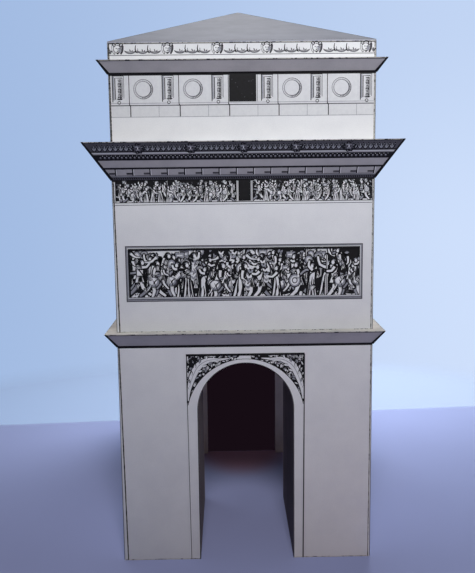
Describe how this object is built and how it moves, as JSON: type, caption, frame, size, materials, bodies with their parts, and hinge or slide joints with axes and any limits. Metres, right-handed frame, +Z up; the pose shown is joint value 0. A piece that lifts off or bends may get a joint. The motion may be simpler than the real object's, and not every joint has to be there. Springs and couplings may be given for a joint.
{
  "type": "card model of a triumphal arch",
  "caption": "Folded card model of a triumphal arch: hollow piers, a great arch crossed by small arches, flared cornice trays and a low pyramid roof.",
  "frame": {"origin": "on the floor under the middle of the model", "axes": "+Z up, -Y out of the narrow front face, +X to its right, wide faces with the great arch along -X and +X"},
  "size_m": [0.0882, 0.1492, 0.1715],
  "materials": {
    "wall_card": "white card printed in black line, matt",
    "liner_card": "white card with a fine grey printed pattern, matt",
    "cornice_card": "white card printed in grey tone with black mouldings, matt",
    "ledge_card": "plain white card, matt, with worn fold rims",
    "roof_card": "white card printed in flat grey tone with dark hip lines, matt"
  },
  "bodies": {
    "root": {"front_pier_front_wall": "wall_card", "front_pier_right_wall": "wall_card", "front_pier_back_wall": "wall_card", "front_pier_left_wall": "wall_card", "front_passage_left_jamb": "liner_card", "front_passage_right_jamb": "liner_card", "front_passage_vault": "liner_card", "front_impost_flanges": "cornice_card", "front_impost_ledge": "ledge_card", "back_pier_front_wall": "wall_card", "back_pier_right_wall": "wall_card", "back_pier_back_wall": "wall_card", "back_pier_left_wall": "wall_card", "back_passage_left_jamb": "liner_card", "back_passage_right_jamb": "liner_card", "back_passage_vault": "liner_card", "back_impost_flanges": "cornice_card", "back_impost_ledge": "ledge_card", "middle_front_wall": "wall_card", "middle_right_wall": "wall_card", "middle_back_wall": "wall_card", "middle_left_wall": "wall_card", "great_arch_vault": "liner_card", "main_cornice_front_flange": "cornice_card", "main_cornice_right_flange": "cornice_card", "main_cornice_back_flange": "cornice_card", "main_cornice_left_flange": "cornice_card", "main_cornice_ledge": "ledge_card", "upper_cornice_front_flange": "cornice_card", "upper_cornice_right_flange": "cornice_card", "upper_cornice_back_flange": "cornice_card", "upper_cornice_left_flange": "cornice_card", "upper_cornice_ledge": "ledge_card", "attic_front_wall": "wall_card", "attic_right_wall": "wall_card", "attic_back_wall": "wall_card", "attic_left_wall": "wall_card", "parapet_front_wall": "wall_card", "parapet_right_wall": "wall_card", "parapet_back_wall": "wall_card", "parapet_left_wall": "wall_card", "roof_front_slope": "roof_card", "roof_right_slope": "roof_card", "roof_back_slope": "roof_card", "roof_left_slope": "roof_card"}
  },
  "joints": []
}
